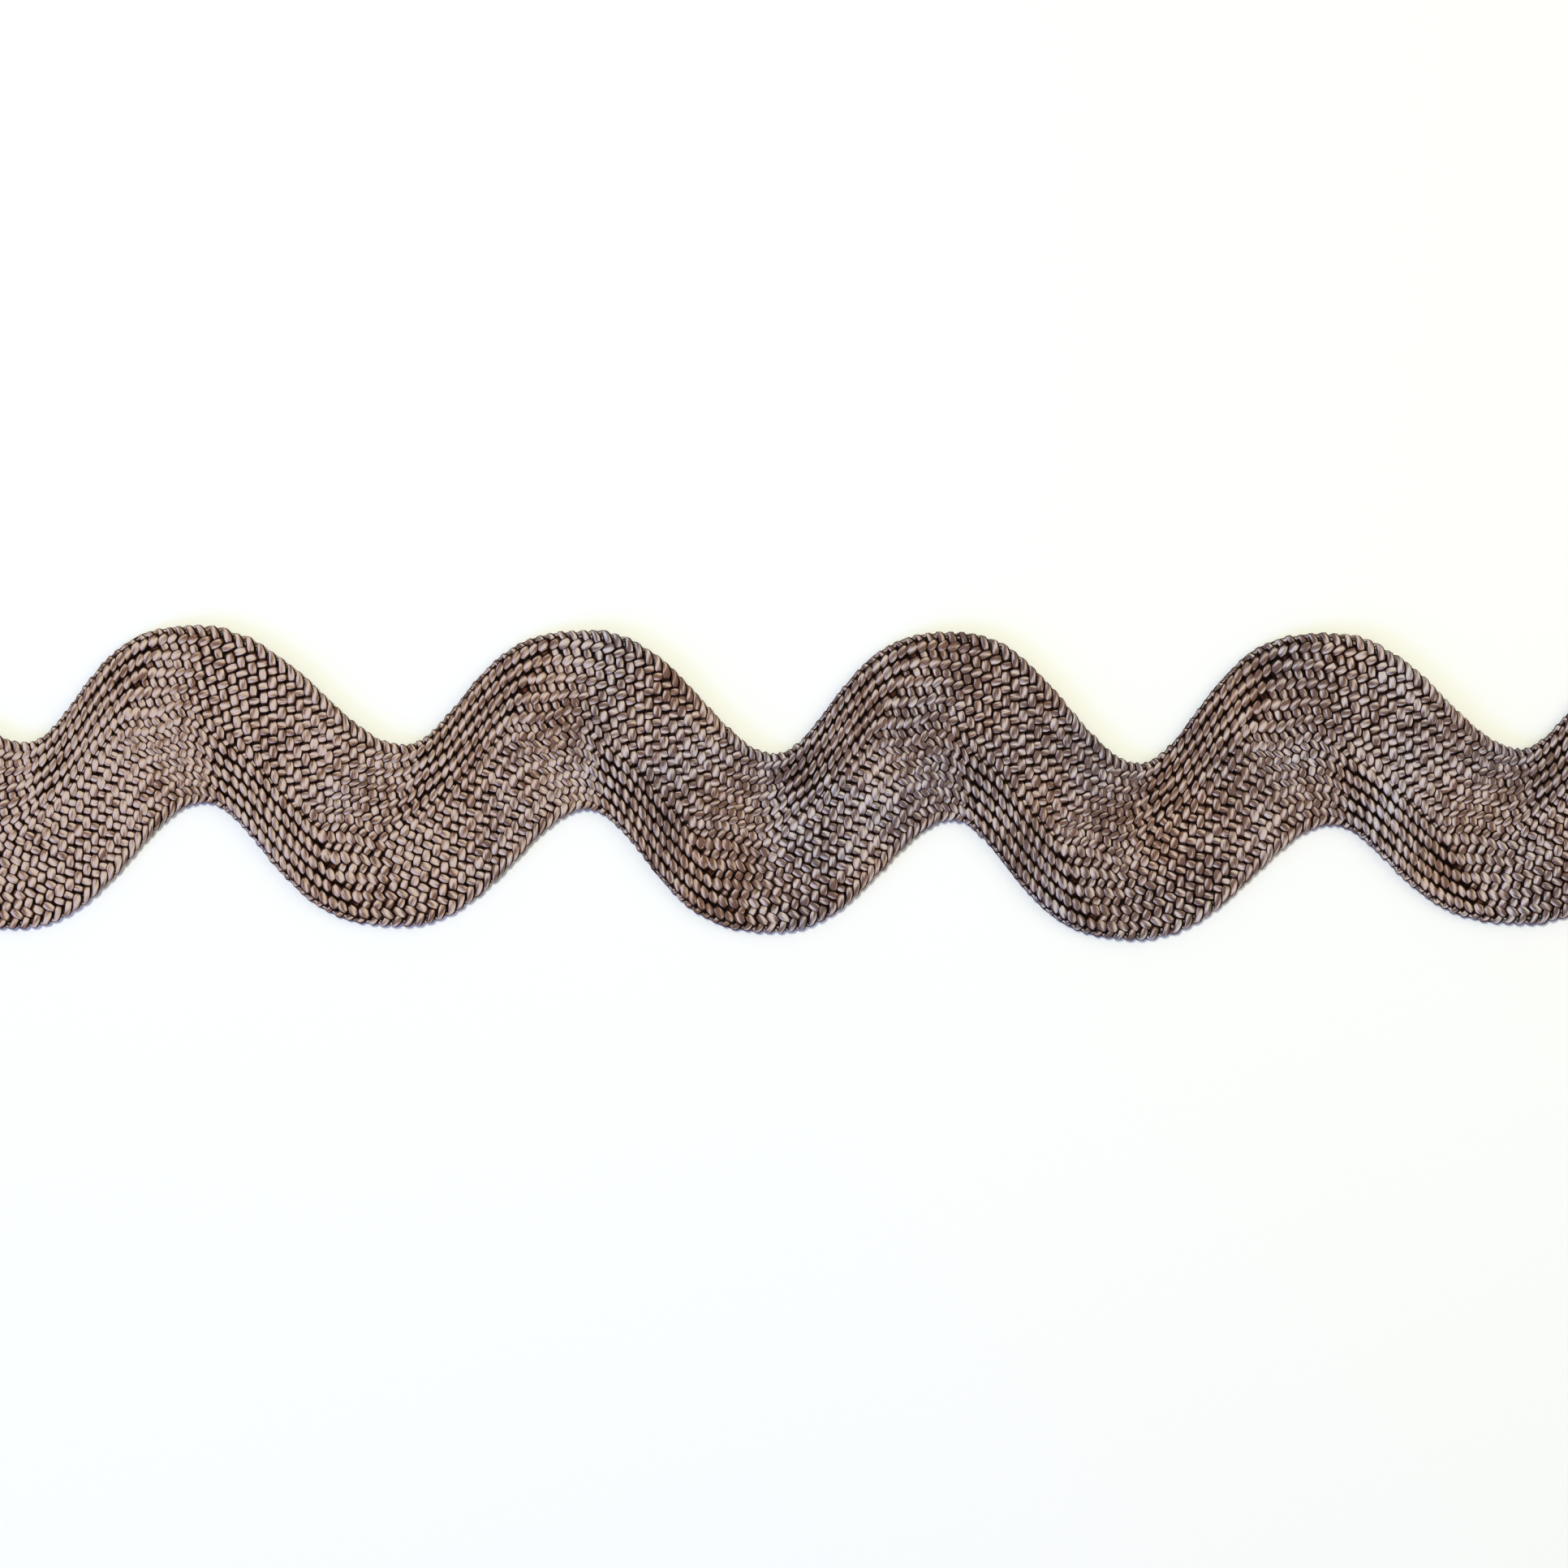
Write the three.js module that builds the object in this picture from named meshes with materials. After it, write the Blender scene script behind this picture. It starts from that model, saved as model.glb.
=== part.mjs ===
// A cut length of wide ric rac: one flat braid woven into even waves, lying flat.
// Millimetres, +Z up. The underside is flat on z = 0 and the face carries the braid's ribs.
import * as THREE from 'three';

const THICKNESS = 1.1; // two crossing layers of soft yarn
const EDGE_ROW_HEIGHT = 0.86; // the selvedge rows roll down, as a part of the thickness
const EDGE_SIDE_HEIGHT = 0.45; // widest point of the rounded edge above the underside
const EDGE_TUCK = 0.3; // how far the underside stops short of the edge
const ROWS = 22; // rows of slanted stitches across the braid, one vertex line on each
const STATIONS_PER_BEND = 12; // sections between one bend and the next

// Where the upper and the lower edge turn at each bend, crest and trough in turn,
// as uneven as the braid lies.
const BENDS = [
  { upperX: -80.4, upperY: 13.1, lowerX: -79.8, lowerY: -1.8 },
  { upperX: -62.9, upperY: 3.5, lowerX: -63.4, lowerY: -12.1 },
  { upperX: -48.8, upperY: 13.2, lowerX: -48.2, lowerY: -1.6 },
  { upperX: -31.5, upperY: 3.3, lowerX: -31.5, lowerY: -11.9 },
  { upperX: -16.0, upperY: 12.8, lowerX: -16.3, lowerY: -2.2 },
  { upperX: -0.7, upperY: 2.6, lowerX: -0.5, lowerY: -12.4 },
  { upperX: 14.5, upperY: 12.7, lowerX: 14.0, lowerY: -3.1 },
  { upperX: 29.6, upperY: 1.8, lowerX: 29.4, lowerY: -13.0 },
  { upperX: 45.5, upperY: 12.6, lowerX: 45.5, lowerY: -3.5 },
  { upperX: 61.2, upperY: 3.0, lowerX: 61.9, lowerY: -11.7 },
  { upperX: 77.0, upperY: 12.7, lowerX: 77.0, lowerY: -2.6 },
];
// An edge is a cosine wave that is broader on the outer side of each bend.
const BROAD_AFTER_INNER = 0.17; // on an edge that runs on from the inner side of a bend
const BROAD_AFTER_OUTER = 0.06; // and from the outer side
// Stitches open out along the outer side of a bend and bunch along the inner side.
const STITCH_SPREAD = 0.07;
const STITCH_SPREAD_SECOND = 0.0255;
// A row of crossings runs from edge to edge in a bow, furthest back at mid-width.
const ROW_LAG = 0.19; // from one bend to the next is 1
const ROW_LAG_ROUNDING = 0.12; // as a part of half the width
const CUT_STRAIGHT = 0.65; // the bow dies out over this part before a cut end

// The face is ribbed on the upper half of each rising flank and the lower half of each
// falling one: every second row is pulled tight there, sinks, and draws its neighbours in.
const RIB_DEPTH = 0.26;
const RIB_SQUEEZE = 0.38; // how much closer together the ribbed rows lie than the plain ones
const RIB_START_MIDDLE = 0.19; // ribs start at a bend, and this much later at mid-width
const RIB_END_MIDDLE = 0.13; // they end at the next bend, and this much sooner at mid-width
const RIB_FADE = 0.12;
const RIB_MIDDLE_FADE = 0.05; // as a part of the braid's width

const smoothstep = THREE.MathUtils.smoothstep;

// An edge point between two bends. outerFirst says that the edge leaves an outer side.
function edgePoint(startX, startY, endX, endY, part, outerFirst) {
  const outward = outerFirst ? 1 : -1;
  const broad = outerFirst ? -BROAD_AFTER_OUTER : BROAD_AFTER_INNER;
  const along =
    part +
    outward * STITCH_SPREAD * Math.sin(Math.PI * part) +
    STITCH_SPREAD_SECOND * Math.sin(2 * Math.PI * part);
  const broadened = along + broad * Math.sin(Math.PI * along);
  const rise = (1 - Math.cos(Math.PI * broadened)) / 2;
  return { x: startX + (endX - startX) * along, y: startY + (endY - startY) * rise };
}

// 0 at both edges and 1 at mid-width, as a roof with a rounded ridge.
function inwardness(across) {
  return 1 + ROW_LAG_ROUNDING - Math.hypot(2 * across - 1, ROW_LAG_ROUNDING);
}

// How far ahead, in bends, the crossings at one place between the edges belong.
function rowLag(turn, across) {
  const turns = BENDS.length - 1;
  const free =
    smoothstep(turn, 0, CUT_STRAIGHT) * (1 - smoothstep(turn, turns - CUT_STRAIGHT, turns));
  return ROW_LAG * inwardness(across) * free;
}

// How strongly a flank is ribbed, 0 to 1. turn counts bends along the braid, and the flank
// starts at the bend firstBend, or at any second bend before or after it.
function ribbing(turn, across, firstBend) {
  const past = THREE.MathUtils.euclideanModulo(turn - firstBend + 0.5, 2) - 0.5;
  const start = RIB_START_MIDDLE * inwardness(across);
  const end = 1 - RIB_END_MIDDLE * inwardness(across);
  return (
    smoothstep(past, start - RIB_FADE, start + RIB_FADE) *
    (1 - smoothstep(past, end - RIB_FADE, end + RIB_FADE))
  );
}

// Where a row lies between the edges, 0 to 1. Ribbed rows lie closer than plain ones, so
// the place is the running sum of the row spacing up to the row, as a part of the whole.
function rowPlace(across, upperRibs, lowerRibs) {
  const runningSum = (upTo) => {
    const bendOver = RIB_MIDDLE_FADE * Math.log(Math.cosh((upTo - 0.5) / RIB_MIDDLE_FADE));
    const squeezed = upperRibs * (upTo + bendOver) + lowerRibs * (upTo - bendOver);
    return upTo - (RIB_SQUEEZE * squeezed) / 2;
  };
  return (runningSum(across) - runningSum(0)) / (runningSum(1) - runningSum(0));
}

// One section of the braid: underside, rounded edge, the rows of the face, rounded edge.
function section(turn) {
  const bend = Math.min(Math.floor(turn), BENDS.length - 2);
  const from = BENDS[bend];
  const to = BENDS[bend + 1];
  const rising = bend % 2 === 1;
  const part = turn - bend;
  const upper = edgePoint(from.upperX, from.upperY, to.upperX, to.upperY, part, !rising);
  const lower = edgePoint(from.lowerX, from.lowerY, to.lowerX, to.lowerY, part, rising);
  const at = (across, z) => [
    lower.x + (upper.x - lower.x) * across,
    lower.y + (upper.y - lower.y) * across,
    z,
  ];

  const tuck = EDGE_TUCK / Math.hypot(upper.x - lower.x, upper.y - lower.y);
  const points = [at(tuck, 0), at(0, EDGE_SIDE_HEIGHT)];
  for (let row = 0; row < ROWS; row += 1) {
    const across = (row + 0.5) / ROWS;
    const isEdge = row === 0 || row === ROWS - 1;
    const crossing = turn + rowLag(turn, across);
    const upperRibs = ribbing(crossing, across, 1);
    const lowerRibs = ribbing(crossing, across, 0);
    const isUpperHalf = smoothstep(across, 0.5 - RIB_MIDDLE_FADE, 0.5 + RIB_MIDDLE_FADE);
    // even rows are the ribs of the upper zones and sink in the lower ones
    const sink = row % 2 === 1 ? upperRibs * isUpperHalf : lowerRibs * (1 - isUpperHalf);
    const height = THICKNESS * (isEdge ? EDGE_ROW_HEIGHT : 1);
    const place = rowPlace(across, upperRibs, lowerRibs);
    points.push(at(place, height - (isEdge ? 0 : RIB_DEPTH * sink)));
  }
  points.push(at(1, EDGE_SIDE_HEIGHT), at(1 - tuck, 0));
  return points;
}

// The whole braid: sections from the first bend to the last, joined into one closed skin.
function braidGeometry() {
  const sections = [];
  for (let station = 0; station <= (BENDS.length - 1) * STATIONS_PER_BEND; station += 1) {
    sections.push(section(station / STATIONS_PER_BEND));
  }

  const around = sections[0].length;
  const index = [];
  for (let s = 0; s < sections.length - 1; s += 1) {
    for (let k = 0; k < around; k += 1) {
      const a = s * around + k;
      const b = s * around + ((k + 1) % around);
      index.push(a, a + around, b, b, a + around, b + around);
    }
  }
  // each cut end is a fan from one corner of the underside
  const last = (sections.length - 1) * around;
  for (let k = 1; k < around - 1; k += 1) {
    index.push(0, k, k + 1);
    index.push(last + k + 1, last + k, last);
  }

  const geometry = new THREE.BufferGeometry();
  geometry.setAttribute('position', new THREE.Float32BufferAttribute(sections.flat(2), 3));
  geometry.setIndex(index);
  geometry.computeBoundingBox();
  const centre = geometry.boundingBox.getCenter(new THREE.Vector3());
  geometry.translate(-centre.x, -centre.y, 0);
  geometry.computeVertexNormals();
  return geometry;
}

const yarn = new THREE.MeshStandardMaterial({ color: 0x7d6a63, roughness: 0.95, metalness: 0 });

const braid = new THREE.Mesh(braidGeometry(), yarn);
braid.name = 'braid';

const ricRac = new THREE.Group();
ricRac.add(braid);

export default ricRac;
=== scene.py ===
"""A cut length of wide taupe ric rac, lying flat, seen from straight above.

The braid is made yarn by yarn. Its yarns run slantwise from one edge to the other and
back, each going over two and under two of those that cross it, while the whole band is
drawn into even waves. Sizes are in metres, unless a comment says otherwise, in the frame
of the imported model. A step is the way from one crossing yarn to the next.
"""

import math

import bpy
import numpy as np
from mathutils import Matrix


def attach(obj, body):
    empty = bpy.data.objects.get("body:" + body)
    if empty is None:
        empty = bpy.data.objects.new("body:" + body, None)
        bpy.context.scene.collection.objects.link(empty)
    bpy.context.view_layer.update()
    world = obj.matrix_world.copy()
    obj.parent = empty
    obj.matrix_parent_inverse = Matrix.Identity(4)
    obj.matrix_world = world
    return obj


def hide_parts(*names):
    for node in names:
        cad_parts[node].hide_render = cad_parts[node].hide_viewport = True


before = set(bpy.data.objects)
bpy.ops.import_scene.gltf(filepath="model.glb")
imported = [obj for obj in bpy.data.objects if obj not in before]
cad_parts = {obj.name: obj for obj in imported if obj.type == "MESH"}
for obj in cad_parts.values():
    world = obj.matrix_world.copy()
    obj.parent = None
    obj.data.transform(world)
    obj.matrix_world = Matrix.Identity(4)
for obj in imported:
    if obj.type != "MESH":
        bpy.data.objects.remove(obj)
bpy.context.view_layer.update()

# The camera looks straight down on the braid, as a hand-held close-up does. The picture's
# middle isn't the middle of the whole length, because the braid runs on past both sides.

MM = 0.001
PHOTO_WIDTH_PX = 1932
OVERALL_HEIGHT_PX = 370  # crest to trough of the waves in the picture
OVERALL_HEIGHT = 25 * MM
METRES_PER_PX = OVERALL_HEIGHT / OVERALL_HEIGHT_PX
CAMERA_HEIGHT = 0.30
SENSOR_WIDTH_MM = 36.0

# Where the upper and the lower edge turn at each bend, crest and trough in turn, in
# millimetres from the middle of the picture: upper x, upper y, lower x, lower y. The first
# bend and the last lie outside the picture and only carry the waves on.
BENDS = np.array(
    [
        (-80.4, 13.1, -79.8, -1.8),
        (-62.9, 3.5, -63.4, -12.1),
        (-48.8, 13.2, -48.2, -1.6),
        (-31.5, 3.3, -31.5, -11.9),
        (-16.0, 12.8, -16.3, -2.2),
        (-0.7, 2.6, -0.5, -12.4),
        (14.5, 12.7, 14.0, -3.1),
        (29.6, 1.8, 29.4, -13.0),
        (45.5, 12.6, 45.5, -3.5),
        (61.2, 3.0, 61.9, -11.7),
        (77.0, 12.7, 77.0, -2.6),
    ]
)
UPPER_COLUMNS, LOWER_COLUMNS = slice(0, 2), slice(2, 4)

bend_points = BENDS.reshape(-1, 2)
middle_mm = (bend_points.min(0) + bend_points.max(0)) / 2
picture_middle = -middle_mm * MM

camera_data = bpy.data.cameras.new("camera")
camera_data.sensor_width = SENSOR_WIDTH_MM
camera_data.lens = SENSOR_WIDTH_MM * CAMERA_HEIGHT / (PHOTO_WIDTH_PX * METRES_PER_PX)
camera = bpy.data.objects.new("camera", camera_data)
camera.location = (picture_middle[0], picture_middle[1], CAMERA_HEIGHT)
bpy.context.collection.objects.link(camera)
bpy.context.scene.camera = camera


# The board is plain white card with a faint pebbled grain, about half a millimetre
# across. The braid only lies on it.

BOARD_SIZE = 1.6
BOARD_GRAIN = 0.55 * MM
BOARD_GRAIN_DEPTH = 0.03 * MM


def linear(hex_colour):
    """An sRGB hex colour as linear red, green, blue and alpha."""
    parts = [int(hex_colour[i : i + 2], 16) / 255 for i in (1, 3, 5)]
    return [c / 12.92 if c <= 0.04045 else ((c + 0.055) / 1.055) ** 2.4 for c in parts] + [1.0]


def node(tree, kind, inputs=None, **settings):
    """Adds one node: its settings, then each input as a link or as a plain value."""
    made = tree.nodes.new("ShaderNode" + kind)
    for name, value in settings.items():
        setattr(made, name, value)
    for name, value in (inputs or {}).items():
        if isinstance(value, bpy.types.NodeSocket):
            tree.links.new(value, made.inputs[name])
        else:
            made.inputs[name].default_value = value
    return made


def new_material(name):
    """A material with nothing but its output: itself, its nodes and its surface socket."""
    material = bpy.data.materials.new(name)
    material.use_nodes = True
    material.node_tree.nodes.clear()
    output = material.node_tree.nodes.new("ShaderNodeOutputMaterial")
    return material, material.node_tree, output.inputs["Surface"]


def add_mesh(name, points, faces):
    """A smooth mesh object of four-sided faces, with its place in its mesh."""
    mesh = bpy.data.meshes.new(name)
    mesh.from_pydata(points, [], faces)
    mesh.polygons.foreach_set("use_smooth", np.ones(len(mesh.polygons), bool))
    mesh.update()
    made = bpy.data.objects.new(name, mesh)
    bpy.context.collection.objects.link(made)
    return made


corner_signs = np.array([(-1, -1, 0), (1, -1, 0), (1, 1, 0), (-1, 1, 0)])
board = add_mesh("board", corner_signs * BOARD_SIZE / 2, np.array([(0, 1, 2, 3)]))

# Uncoated card is matt and near white, and its grain keeps it from looking like a screen.
card, tree, surface = new_material("matt white card")
where = node(tree, "TexCoord").outputs["Object"]
grain = node(
    tree, "TexNoise", {"Vector": where, "Scale": 1 / BOARD_GRAIN, "Detail": 2.0, "Roughness": 0.5}
)
relief = node(
    tree, "Bump", {"Height": grain.outputs["Fac"], "Distance": BOARD_GRAIN_DEPTH, "Strength": 0.6}
)
shader = node(
    tree,
    "BsdfPrincipled",
    {
        "Base Color": linear("#f6f9fa"),
        "Roughness": 0.7,
        "Specular IOR Level": 0.2,
        "Normal": relief.outputs["Normal"],
    },
)
tree.links.new(shader.outputs["BSDF"], surface)
board.data.materials.append(card)


# Soft studio light. A panel stands above the upper left of the picture, a cool window low
# on the lower left, and a warm lamp on the right fills the shadows that they leave.


def panel_light(name, place, size, watts, colour):
    """A square light panel that faces the middle of the braid."""
    data = bpy.data.lights.new(name, "AREA")
    data.shape = "SQUARE"
    data.size = size
    data.energy = watts
    data.color = linear(colour)[:3]
    light = bpy.data.objects.new(name, data)
    light.location = place
    reach = math.hypot(place[0], place[1])
    light.rotation_euler = (math.atan2(reach, place[2]), 0, math.atan2(place[0], -place[1]))
    bpy.context.collection.objects.link(light)


panel_light("panel above", (-0.15, 0.18, 0.74), size=0.15, watts=3.75, colour="#fffeec")
panel_light("window on the left", (-0.52, -0.38, 0.26), size=0.35, watts=2.7, colour="#587fff")
panel_light("lamp on the right", (0.42, 0.14, 0.31), size=0.3, watts=0.6, colour="#ffe9c4")

world = bpy.data.worlds.new("soft room")
world.use_nodes = True
world.node_tree.nodes["Background"].inputs["Color"].default_value = linear("#fffeec")
world.node_tree.nodes["Background"].inputs["Strength"].default_value = 0.36
bpy.context.scene.world = world
bpy.context.scene.view_settings.view_transform = "Standard"


# The yarns are soft two-ply cotton, about half a millimetre thick, held by nothing but the
# weave. Each turns back at both edges, and where the yarns that cross it are pulled tight
# it stands up as a row of rope-like ribs.

YARNS = 45  # odd, as a flat braid of two over and two under has
YARN_PIECES = 5  # every fifth yarn goes into the same piece
TURNS = len(BENDS) - 1

# The band that the yarns run in. An edge is a cosine wave from one bend to the next.
# It is broader on the outer side of a bend, by the first value on the way there and by the
# second on the way on.
BROAD_AFTER_INNER = 0.17
BROAD_AFTER_OUTER = 0.06
STITCH_SPREAD = 0.07  # how stitches open out on the outer side of a bend, in bends
STITCH_SPREAD_SECOND = 0.0255
RIB_SQUEEZE = 0.38  # how much closer together the ribbed rows lie than the plain ones
RIB_START_MIDDLE = 0.19  # ribs start at a bend, and this much later at mid-width
RIB_END_MIDDLE = 0.13  # they end at the next bend, and this much sooner at mid-width
RIB_FADE = 0.12  # in bends
RIB_MIDDLE_FADE = 0.05  # as a share of the width
ROW_LAG = 0.19  # how far back a row of crossings bends at mid-width, in bends
ROW_LAG_ROUNDING = 0.12  # as a share of half the width
CUT_STRAIGHT = 0.65  # the lag dies out over this many bends before a cut end


def smoothstep(low, high, x):
    """0 below low, 1 above high, and a smooth cubic between."""
    t = np.clip((x - low) / (high - low), 0, 1)
    return t * t * (3 - 2 * t)


def edge_points(turn, is_upper):
    """x and y of one edge at a count of bends.

    Between two bends x runs on nearly evenly, and y follows a cosine from the height of
    one bend to that of the next, pushed so that it is broader on the outer side."""
    bend = np.clip(np.floor(turn), 0, TURNS - 1).astype(int)
    part = turn - bend
    rising = bend % 2 == 1
    outer_first = ~rising if is_upper else rising
    outward = np.where(outer_first, 1.0, -1.0)
    broad = np.where(outer_first, -BROAD_AFTER_OUTER, BROAD_AFTER_INNER)
    along = (
        part
        + outward * STITCH_SPREAD * np.sin(np.pi * part)
        + STITCH_SPREAD_SECOND * np.sin(2 * np.pi * part)
    )
    broadened = along + broad * np.sin(np.pi * along)
    rise = (1 - np.cos(np.pi * broadened)) / 2
    columns = UPPER_COLUMNS if is_upper else LOWER_COLUMNS
    start, end = BENDS[bend, columns], BENDS[bend + 1, columns]
    eased = np.stack([along, rise], axis=-1)
    return (start + (end - start) * eased - middle_mm) * MM


def inwardness(across):
    """0 at both edges and 1 at mid-width: a roof with a rounded ridge."""
    return 1 + ROW_LAG_ROUNDING - np.hypot(2 * across - 1, ROW_LAG_ROUNDING)


def ribbing(turn, across, first_bend):
    """How strongly a flank is ribbed, 0 to 1, for flanks that start at every second bend."""
    past = np.mod(turn - first_bend + 0.5, 2) - 0.5
    start = RIB_START_MIDDLE * inwardness(across)
    end = 1 - RIB_END_MIDDLE * inwardness(across)
    fade_in = smoothstep(start - RIB_FADE, start + RIB_FADE, past)
    return fade_in * (1 - smoothstep(end - RIB_FADE, end + RIB_FADE, past))


def braid_point(turn, across):
    """x and y at a count of bends and a share of the width, 0 at the lower edge.

    It is a blend of two edge points, which lie further back the nearer the middle it is.
    The blend is the running sum of the row spacing, which is smaller where rows are ribbed."""
    upper_ribs, lower_ribs = ribbing(turn, across, 1), ribbing(turn, across, 0)

    def running_sum(u):
        fold = RIB_MIDDLE_FADE * np.log(np.cosh((u - 0.5) / RIB_MIDDLE_FADE))
        return u - RIB_SQUEEZE * (upper_ribs * (u + fold) + lower_ribs * (u - fold)) / 2

    low, high = running_sum(0.0), running_sum(1.0)
    share = ((running_sum(across) - low) / (high - low))[..., None]
    free = smoothstep(0, CUT_STRAIGHT, turn) * (1 - smoothstep(TURNS - CUT_STRAIGHT, TURNS, turn))
    place = turn - ROW_LAG * inwardness(across) * free
    return edge_points(place, False) * (1 - share) + edge_points(place, True) * share


# The way of one yarn, in steps. It is made as a tube of rings.
CROSSING_STEPS = YARNS  # from edge to edge, which is also how far it gets from bend to bend
RING_STEP = 0.3  # from one ring to the next
RING_SIDES = 6  # points on a ring
EDGE_ROUNDING = 0.75  # how round a yarn turns back at an edge
EDGE_LEVEL = 1.5  # on each side of an edge, where the yarn goes level round it
FRAY = 1.2  # how unevenly the yarns end at the cut
rng = np.random.default_rng(45)

# Its height. A float is the stretch on top of two crossing yarns, or under them, and the
# up and down wave has a float for each half turn.
BRAID_MIDDLE_Z = 0.55 * MM
YARN_LIFT = 0.225 * MM  # how far a float lies above the middle of the braid
FLATNESS = 1.3  # how flat the top of a float is, as the steepness of a tanh
SLACK_ROUNDING = 0.4  # how much less flat it is where the yarn is slack
SLACK_LIFT = 0.14  # and how much higher, as a share
RIB_LIFT = 0.35  # how much higher a rib stands than other floats, as a share
SINK = 0.85  # how much of its wave a tight yarn loses where it sinks between ribs
SINK_POWER = 6  # it sinks only where the ribs are nearly full

# Its slant: how far a float turns across its yarn's way, in steps at its ends.
FLOAT_SLANT = 0.24
SLACK_SLANT = 0.35  # the share lost half-way from slack to tight, and twice that where tight
RIB_STRAND_SLANT = 0.45

# Its thickness. Half the width follows the spacing of the yarns of its own set.
YARN_HALF_WIDTH = 0.27 * MM
YARN_HALF_HEIGHT = 0.225 * MM
WIDTH_SHARE = 0.75  # of that spacing
NARROWEST, WIDEST = 0.7, 1.7  # the limits, as shares of the plain half width
RIB_WIDTH_SHARE = 0.37  # half the width of a rib, as a share of the spacing of the ribs
SLACK_WIDTH = 0.1  # how much wider a yarn is where it is slack, as a share
EDGE_NARROWING = 0.35  # how much narrower where it goes round the edge
EDGE_FADE = (0.5, 3.0)  # the edge counts in full up to here, and no more from here, in steps
PLUMPNESS = 0.22  # how much thinner it is where it dives than on top of a float
RIB_PLUMPNESS = 0.2  # what a rib adds to that
SLACK_PLUMPNESS = 0.1  # and what a slack yarn takes off
PLUMP_POWER = 0.8  # how soon it swells towards the top of the wave

# How far the yarns differ, each value drifting from one float or so to the next.
UNEVEN_RINGS = 7  # rings from one random value to the next
UNEVEN_LIFT = 0.22  # as shares
UNEVEN_WIDTH = 0.14
UNEVEN_PLACE = 0.055 * MM

# How open its surface lies, 0 deep in the weave and 1 on top. The material paints shade by it: the
# yarn's colour is darker where it lies deep.
DIVE_CLOSING = 0.44  # how much less open a yarn is where it dives
RIB_DIVE_CLOSING = 0.06  # and in a rib on top of that
SUNK_CLOSING = 0.8  # how much less open where it is sunk, as a share
EDGE_SIDE_OPENNESS = 0.65  # of the sides of a yarn that goes round the edge
CUT_OPENNESS = 0.8  # of the cut ends
CUT_FADE = 1.0  # steps from the cut over which that dies out


def yarn_route(number, step):
    """Share of the width, phase of the up and down wave, and whether it rises.

    Across the band it is a triangle wave, rounded at the edges. The phase gains half a
    turn for every two yarns crossed and for the way round an edge, and is level there."""
    along = np.mod(step - 2 * number, 2 * CROSSING_STEPS)
    from_lower = np.abs(np.mod(along + CROSSING_STEPS, 2 * CROSSING_STEPS) - CROSSING_STEPS)
    from_upper = CROSSING_STEPS - from_lower
    rounded_lower = np.hypot(from_lower, EDGE_ROUNDING)
    rounded_upper = np.hypot(from_upper, EDGE_ROUNDING)
    across = (rounded_lower + CROSSING_STEPS - rounded_upper) / 2 / CROSSING_STEPS

    near_upper = CROSSING_STEPS - EDGE_LEVEL
    crossed = (near_upper - EDGE_LEVEL) / 2
    half_turns_at = {
        0: 0,
        EDGE_LEVEL: 0.5,
        near_upper: crossed + 0.5,
        CROSSING_STEPS + EDGE_LEVEL: crossed + 1.5,
        CROSSING_STEPS + near_upper: 2 * crossed + 1.5,
        2 * CROSSING_STEPS: 2 * crossed + 2,
    }
    phase = np.pi * np.interp(along, list(half_turns_at.keys()), list(half_turns_at.values()))
    return across, phase, along < CROSSING_STEPS


def yarn_pull(turn, across, rising):
    """How proud, sunk and slack a yarn lies, the first two from 0 to 1.

    Rising yarns stand proud in the upper ribs and sink in the lower ones, and falling
    yarns the other way round. Slackness is a sine from -1 to 1 that swings from flank to
    flank, the other way for the other set."""
    upper_half = smoothstep(0.5 - RIB_MIDDLE_FADE, 0.5 + RIB_MIDDLE_FADE, across)
    upper_ribs = ribbing(turn, across, 1) * upper_half
    lower_ribs = ribbing(turn, across, 0) * (1 - upper_half)
    proud = np.where(rising, upper_ribs, lower_ribs)
    tight = np.where(rising, lower_ribs, upper_ribs)
    flank = np.sin(np.pi * (turn - ROW_LAG * inwardness(across)))
    return proud, tight**SINK_POWER, np.where(rising, -flank, flank)


def unevenness(count):
    """Four random lines from -1 to 1 for the rings of a yarn, straight between values."""
    ring = np.arange(count) / UNEVEN_RINGS
    knots = np.arange(count // UNEVEN_RINGS + 2)
    return [np.interp(ring, knots, rng.uniform(-1, 1, len(knots))) for _ in range(4)]


def yarn_half_width(turn, across, tangent, proud):
    """Half the width that the weave leaves to a yarn, in metres.

    It is a share of the distance to the next yarn of the set, square to the yarn. In a rib
    it is at least a share of the distance to the next rib, square to the rows."""
    step = 1 / CROSSING_STEPS
    row = braid_point(turn + step, across) - braid_point(turn - step, across)
    column = braid_point(turn, across + step) - braid_point(turn, across - step)
    spacing = np.abs(row[:, 0] * tangent[:, 1] - row[:, 1] * tangent[:, 0])
    rib_spacing = 2 * np.abs(row[:, 0] * column[:, 1] - row[:, 1] * column[:, 0])
    rib_spacing /= np.linalg.norm(row, axis=1)
    half_width = np.clip(
        WIDTH_SHARE * spacing, NARROWEST * YARN_HALF_WIDTH, WIDEST * YARN_HALF_WIDTH
    )
    return np.maximum(half_width, RIB_WIDTH_SHARE * rib_spacing * proud)


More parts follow.
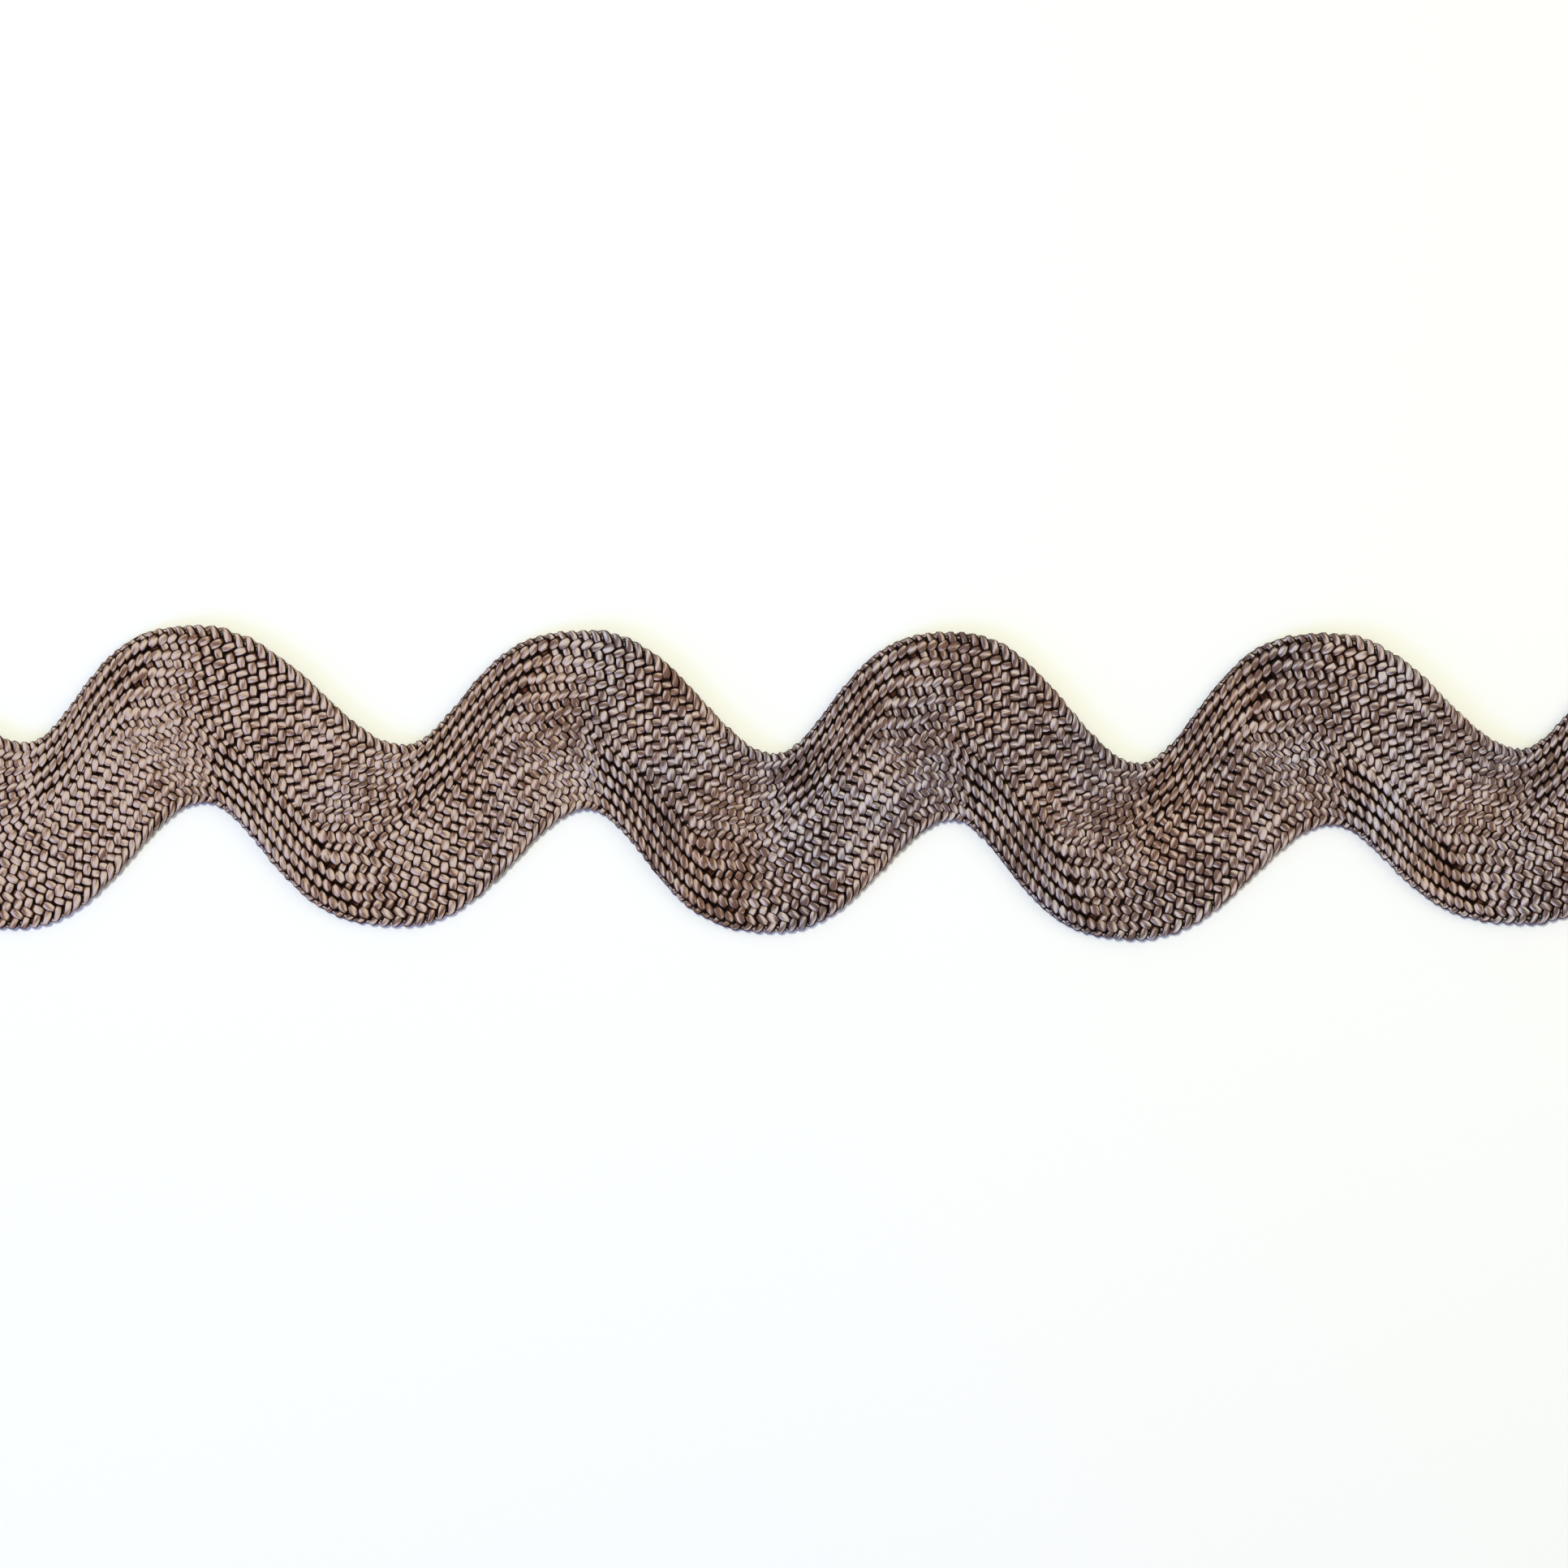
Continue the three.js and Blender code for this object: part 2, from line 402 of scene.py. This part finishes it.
def yarn_rings(number):
    """Rings of points round one yarn, how open each point lies, and the length run.

    The centre follows the route over the band, with each float turned by a cosine of the
    phase. Its height is a sine of the phase, flattened by a tanh except in a rib. A ring
    is an ellipse, flatter where it is wider, that shrinks where the yarn dives."""
    ends = rng.uniform(-FRAY, FRAY, 2)
    count = round(TURNS * CROSSING_STEPS / RING_STEP) + 1
    step = np.linspace(ends[0], TURNS * CROSSING_STEPS + ends[1], count)
    turn = step / CROSSING_STEPS
    across, phase, rising = yarn_route(number, step)
    proud, sunk, slack = yarn_pull(turn, across, rising)
    uneven_lift, uneven_width, uneven_x, uneven_y = unevenness(count)
    from_edge = np.minimum(across, 1 - across) * CROSSING_STEPS
    at_edge = 1 - smoothstep(*EDGE_FADE, from_edge)

    wave = np.sin(phase)
    flatness = FLATNESS - SLACK_ROUNDING * slack
    flattened = np.tanh(flatness * wave) / np.tanh(flatness)
    height = flattened * (1 - proud) + wave * proud
    lift = height * (1 + SLACK_LIFT * slack) * (1 - SINK * sunk)
    lift += RIB_LIFT * proud * np.maximum(height, 0)
    z = BRAID_MIDDLE_Z + YARN_LIFT * lift * (1 + UNEVEN_LIFT * uneven_lift)

    slant = FLOAT_SLANT * (1 - SLACK_SLANT + SLACK_SLANT * slack) * (1 - proud)
    slant += RIB_STRAND_SLANT * proud
    slant *= np.cos(phase) / CROSSING_STEPS
    place = braid_point(turn + slant, across - np.where(rising, 1, -1) * slant)
    place += UNEVEN_PLACE * np.column_stack([uneven_x, uneven_y])

    centre = np.column_stack([place, z])
    tangent = np.gradient(centre, axis=0)
    tangent /= np.linalg.norm(tangent, axis=1)[:, None]
    sideways = np.column_stack([tangent[:, 1], -tangent[:, 0], np.zeros(count)])
    sideways /= np.linalg.norm(sideways, axis=1)[:, None]
    upward = np.cross(sideways, tangent)

    half_width = yarn_half_width(turn, across, tangent, proud)
    half_width *= (1 + SLACK_WIDTH * slack) * (1 + UNEVEN_WIDTH * uneven_width)
    half_width *= 1 - EDGE_NARROWING * at_edge
    half_height = YARN_HALF_HEIGHT * np.sqrt(YARN_HALF_WIDTH / half_width)
    thinning = PLUMPNESS + RIB_PLUMPNESS * proud - SLACK_PLUMPNESS * slack * (1 - proud)
    plump = 1 - thinning + thinning * np.abs(wave) ** PLUMP_POWER
    angle = 2 * np.pi * np.arange(RING_SIDES) / RING_SIDES
    rings = (
        centre[:, None]
        + (half_width * plump)[:, None, None] * np.cos(angle)[None, :, None] * sideways[:, None]
        + (half_height * plump)[:, None, None] * np.sin(angle)[None, :, None] * upward[:, None]
    )

    # How open each point lies, which the material turns into painted shade.
    openness = np.abs(rings[:, :, 2] - BRAID_MIDDLE_Z) / (YARN_LIFT + YARN_HALF_HEIGHT)
    openness *= (1 - SUNK_CLOSING * sunk)[:, None]
    dive_closing = DIVE_CLOSING + RIB_DIVE_CLOSING * proud**2
    openness -= (dive_closing * (1 - np.abs(wave)))[:, None]
    edge_openness = EDGE_SIDE_OPENNESS + (1 - EDGE_SIDE_OPENNESS) * np.abs(np.sin(angle))
    openness = np.maximum(openness, at_edge[:, None] * edge_openness)
    from_cut = np.minimum(step, TURNS * CROSSING_STEPS - step)
    at_cut = 1 - smoothstep(-FRAY, CUT_FADE, from_cut)
    openness = np.maximum(openness, CUT_OPENNESS * at_cut[:, None])

    length = np.concatenate([[0], np.cumsum(np.linalg.norm(np.diff(centre, axis=0), axis=1))])
    return rings, openness, length


def tube_faces(count, first):
    """Four-sided faces round and along one tube of rings, and two on each end."""
    ring, side = np.meshgrid(np.arange(count - 1), np.arange(RING_SIDES), indexing="ij")
    a = first + ring * RING_SIDES + side
    b = first + ring * RING_SIDES + (side + 1) % RING_SIDES
    walls = np.stack([a, b, b + RING_SIDES, a + RING_SIDES], axis=-1).reshape(-1, 4)
    cap = np.array([(0, 1, 2, 3), (0, 3, 4, 5)])
    last = first + (count - 1) * RING_SIDES
    return np.concatenate([walls, first + cap[:, ::-1], last + cap])


def tube_uv(length, offset):
    """Metres along the yarn and turns round it, for every corner of the faces."""
    count = len(length)
    ring, side = np.meshgrid(np.arange(count - 1), np.arange(RING_SIDES), indexing="ij")
    corners = [(ring, side), (ring, side + 1), (ring + 1, side + 1), (ring + 1, side)]
    walls = np.stack(
        [np.stack([length[r] + offset, s / RING_SIDES], axis=-1) for r, s in corners], axis=-2
    ).reshape(-1, 2)
    cap_corners = 2 * 4  # two four-sided faces on each end
    caps = np.full((2 * cap_corners, 2), 0.5)
    caps[:cap_corners, 0] = offset
    caps[cap_corners:, 0] = offset + length[-1]
    return np.concatenate([walls, caps])


# Soft cotton spun from brown and lilac grey fibre is matt and heathered: its colour drifts
# from float to float and in wide patches. The plies wind round the yarn as slanted lines.

BROWN_SHADES = [(0.2, "#745648"), (0.5, "#ac9082"), (0.8, "#ccb9b1")]
LILAC_SHADES = [(0.2, "#6a5857"), (0.5, "#a2989a"), (0.8, "#c8c1c5")]
# Painted shade: the yarn's colour is multiplied by these, near black deep in the weave and white
# where it lies open.
PAINTED_SHADE_STOPS = [(0.14, "#180a05"), (0.37, "#7a5644"), (0.55, "#ffffff")]
FLOAT_LENGTH = 1.3 * MM
FIBRE_LENGTH = 1.6 * MM  # the streak that a bundle of fibres shows
FIBRES_ROUND = 14.0  # far fewer and coarser than the real fibres, which wouldn't show
PLY_LINES = 4  # two plies of two fibre bundles, counted round the yarn
PLY_TWIST = 5.0 * MM  # length of yarn for one turn
PLY_DEPTH = 0.045 * MM
PATCH_SIZE = 6 * MM

cotton, tree, surface = new_material("heathered cotton yarn with painted shade")
uv = node(tree, "UVMap", uv_map="yarn").outputs["UV"]
split = node(tree, "SeparateXYZ", {"Vector": uv})
along_yarn, round_yarn = split.outputs["X"], split.outputs["Y"]
where = node(tree, "TexCoord").outputs["Object"]
place_along = node(tree, "SeparateXYZ", {"Vector": where}).outputs["X"]

# Float by float: one pattern for the tone, and a slower one for the dye, which starts 90
# of its own steps further on, so that the two don't go together.
float_patterns = []
for steps_per_float, start in [(1.0, 0.0), (0.7, 90.0)]:
    steps = {0: along_yarn, 1: steps_per_float / FLOAT_LENGTH, 2: start}
    place = node(tree, "Math", steps, operation="MULTIPLY_ADD").outputs[0]
    settings = {"W": place, "Scale": 1.0, "Detail": 1.0, "Roughness": 0.5}
    pattern = node(tree, "TexNoise", settings, noise_dimensions="1D")
    float_patterns.append(pattern.outputs["Fac"])
float_tone, float_dye = float_patterns

stretch = {"Vector": uv, "Scale": (1 / FIBRE_LENGTH, FIBRES_ROUND, 1.0)}
stretched = node(tree, "Mapping", stretch, vector_type="POINT").outputs["Vector"]
fibre_tone = node(
    tree, "TexNoise", {"Vector": stretched, "Scale": 1.0, "Detail": 3.0, "Roughness": 0.6}
).outputs["Fac"]

# Patch by patch: the dye's patches are larger, and moved off the tone's for the same reason.
patch_tone = node(
    tree, "TexNoise", {"Vector": where, "Scale": 1 / PATCH_SIZE, "Detail": 2.0, "Roughness": 0.55}
).outputs["Fac"]
moved = node(tree, "Mapping", {"Vector": where, "Location": (0.3, 0.1, 0.0)}).outputs["Vector"]
patch_dye = node(
    tree, "TexNoise", {"Vector": moved, "Scale": 0.6 / PATCH_SIZE, "Detail": 2.0, "Roughness": 0.55}
).outputs["Fac"]

# Lines round the yarn, one for each bundle, wound by the twist. They give the bump, and in the tone
# they paint darker stripes, painted shade in the grooves between the bundles.
twisted = node(
    tree, "Math", {0: along_yarn, 1: 1 / PLY_TWIST, 2: round_yarn}, operation="MULTIPLY_ADD"
).outputs[0]
ply_angle = node(
    tree, "Math", {0: twisted, 1: 2 * math.pi * PLY_LINES}, operation="MULTIPLY"
).outputs[0]
ply_wave = node(tree, "Math", {0: ply_angle}, operation="SINE").outputs[0]

# Changes along the braid: x from where, to where, and the amount at each. The left end is
# lighter and browner than the middle, and the right end a little lighter.
changes = []
for start, end, at_start, at_end in [
    (-0.06, 0.01, 0.19, -0.11),
    (0.03, 0.045, 0.0, 0.08),
    (-0.065, 0.01, -0.9, 0.15),
]:
    span = {"From Min": start, "From Max": end, "To Min": at_start, "To Max": at_end}
    change = node(
        tree, "MapRange", {"Value": place_along, **span}, interpolation_type="SMOOTHSTEP"
    )
    changes.append(change.outputs["Result"])
left_tone, right_tone, left_dye = changes

# The tone, dark to light, and the dye, brown to lilac grey. Each starts from its middle
# value, and each noise, whose own middle is a half, swings it by the amount beside it.
mixtures = []
for middle, noises, others in [
    (
        0.52,
        [(float_tone, 0.9), (fibre_tone, 2.0), (patch_tone, 1.05)],
        # the ply lines here are painted shade in the grooves between the plies
        [(ply_wave, 0.3), (left_tone, 1.0), (right_tone, 1.0)],
    ),
    (0.42, [(float_dye, 0.4), (patch_dye, 3.2)], [(left_dye, 1.0)]),
]:
    total = middle - sum(swing for _, swing in noises) / 2
    for pattern, swing in noises + others:
        terms = {0: pattern, 1: swing, 2: total}
        total = node(tree, "Math", terms, operation="MULTIPLY_ADD").outputs[0]
    mixtures.append(total)
tone, dye = mixtures

# Painted shade: a yarn is darker the less open it lies, and along both its sides, where it meets
# the next.
openness = node(tree, "Attribute", attribute_name="openness").outputs["Fac"]
round_angle = node(
    tree, "Math", {0: round_yarn, 1: 2 * math.pi}, operation="MULTIPLY"
).outputs[0]
sideways_place = node(tree, "Math", {0: round_angle}, operation="COSINE").outputs[0]
from_top = node(tree, "Math", {0: sideways_place}, operation="ABSOLUTE").outputs[0]
crease_shade = node(
    tree,
    "MapRange",
    {"Value": from_top, "From Min": 0.45, "From Max": 1.0, "To Min": 0.0, "To Max": -0.52},
    interpolation_type="SMOOTHSTEP",
).outputs["Result"]
painted_shade_level = node(tree, "Math", {0: openness, 1: crease_shade}, operation="ADD").outputs[0]

colours = []
for value, shades in [(tone, BROWN_SHADES), (tone, LILAC_SHADES), (painted_shade_level, PAINTED_SHADE_STOPS)]:
    ramp = node(tree, "ValToRGB", {"Fac": value})
    ramp.color_ramp.elements.new(0.5)  # between the two that it comes with
    for stop, (place, colour) in zip(ramp.color_ramp.elements, shades):
        stop.position = place
        stop.color = linear(colour)
    colours.append(ramp.outputs["Color"])
brown, lilac, shade = colours
mixed = node(tree, "Mix", {"Factor": dye, 6: brown, 7: lilac}, data_type="RGBA").outputs[2]
shaded = node(
    tree, "Mix", {"Factor": 1.0, 6: mixed, 7: shade}, data_type="RGBA", blend_type="MULTIPLY"
).outputs[2]

ply_relief = node(
    tree, "Math", {0: fibre_tone, 1: 1.6, 2: ply_wave}, operation="MULTIPLY_ADD"
).outputs[0]
bump = node(
    tree, "Bump", {"Height": ply_relief, "Distance": PLY_DEPTH, "Strength": 0.9}
).outputs["Normal"]
shader = node(
    tree,
    "BsdfPrincipled",
    {
        "Base Color": shaded,
        "Roughness": 0.85,
        "Specular IOR Level": 0.04,
        "Sheen Weight": 0.06,
        "Sheen Roughness": 0.5,
        "Sheen Tint": linear("#d8bcae"),
        "Normal": bump,
    },
)
tree.links.new(shader.outputs["BSDF"], surface)

UV_OFFSET = 1.0  # metres between one yarn's place in the pattern and the next one's
for group in range(YARN_PIECES):
    points, faces, uvs, open_parts = [], [], [], []
    first = 0
    for number in range(group, YARNS, YARN_PIECES):
        rings, openness, length = yarn_rings(number)
        points.append(rings.reshape(-1, 3))
        faces.append(tube_faces(len(rings), first))
        uvs.append(tube_uv(length, UV_OFFSET * number))
        open_parts.append(openness.ravel())
        first += rings.shape[0] * RING_SIDES
    piece = add_mesh(f"yarns_{group + 1}", np.concatenate(points), np.concatenate(faces))
    layer = piece.data.uv_layers.new(name="yarn")
    layer.uv.foreach_set("vector", np.concatenate(uvs).astype(np.float32).ravel())
    # How open each point lies, read by the material as painted shade.
    attribute = piece.data.attributes.new("openness", "FLOAT", "POINT")
    attribute.data.foreach_set("value", np.concatenate(open_parts).astype(np.float32))
    piece.data.materials.append(cotton)
    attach(piece, "root")
    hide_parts("braid")


# Between the two layers of yarn the braid is dense with fibre in deep shade. It is a thin dark
# sheet of the band's own outline, held in by the yarns and set in from the edges, and its near
# black is painted shade.

GROUND_THICKNESS = 0.16 * MM
GROUND_INSET = 0.05  # from both edges, as a share of the width
GROUND_END_INSET = 0.02  # from both cuts, in bends
GROUND_STATIONS = 240
GROUND_COLUMNS = 12
FLECK_SIZE = 0.2 * MM

turns = np.linspace(GROUND_END_INSET, TURNS - GROUND_END_INSET, GROUND_STATIONS)
shares = np.linspace(GROUND_INSET, 1 - GROUND_INSET, GROUND_COLUMNS)
grid_turn, grid_share = np.meshgrid(turns, shares, indexing="ij")
face_points = braid_point(grid_turn, grid_share).reshape(-1, 2)
layer_size = len(face_points)
heights = [BRAID_MIDDLE_Z + side * GROUND_THICKNESS / 2 for side in (1, -1)]
ground_points = np.concatenate(
    [np.column_stack([face_points, np.full(layer_size, height)]) for height in heights]
)
index = np.arange(layer_size).reshape(GROUND_STATIONS, GROUND_COLUMNS)
a, b, c, d = index[:-1, :-1], index[1:, :-1], index[1:, 1:], index[:-1, 1:]
top = np.stack([a, b, c, d], axis=-1).reshape(-1, 4)
rim = np.concatenate([index[:, 0], index[-1, 1:], index[-2::-1, -1], index[0, -2:0:-1]])
after = np.roll(rim, -1)
walls = np.stack([after, rim, rim + layer_size, after + layer_size], axis=-1)
ground = add_mesh("ground", ground_points, np.concatenate([top, top[:, ::-1] + layer_size, walls]))

# Loose fibre in the depth of the weave is matt and faintly flecked, and painted nearly black as
# shade.
painted_dark_fibre, tree, surface = new_material("cotton fibre in painted shade")
where = node(tree, "TexCoord").outputs["Object"]
fleck = node(
    tree, "TexNoise", {"Vector": where, "Scale": 1 / FLECK_SIZE, "Detail": 2.0, "Roughness": 0.6}
)
shade_tones = node(tree, "ValToRGB", {"Fac": fleck.outputs["Fac"]})
shade_tones.color_ramp.elements[0].color = linear("#0e0704")
shade_tones.color_ramp.elements[1].color = linear("#20130d")
shader = node(
    tree,
    "BsdfPrincipled",
    {"Base Color": shade_tones.outputs["Color"], "Roughness": 0.95, "Specular IOR Level": 0.1},
)
tree.links.new(shader.outputs["BSDF"], surface)
ground.data.materials.append(painted_dark_fibre)
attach(ground, "root")
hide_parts("braid")
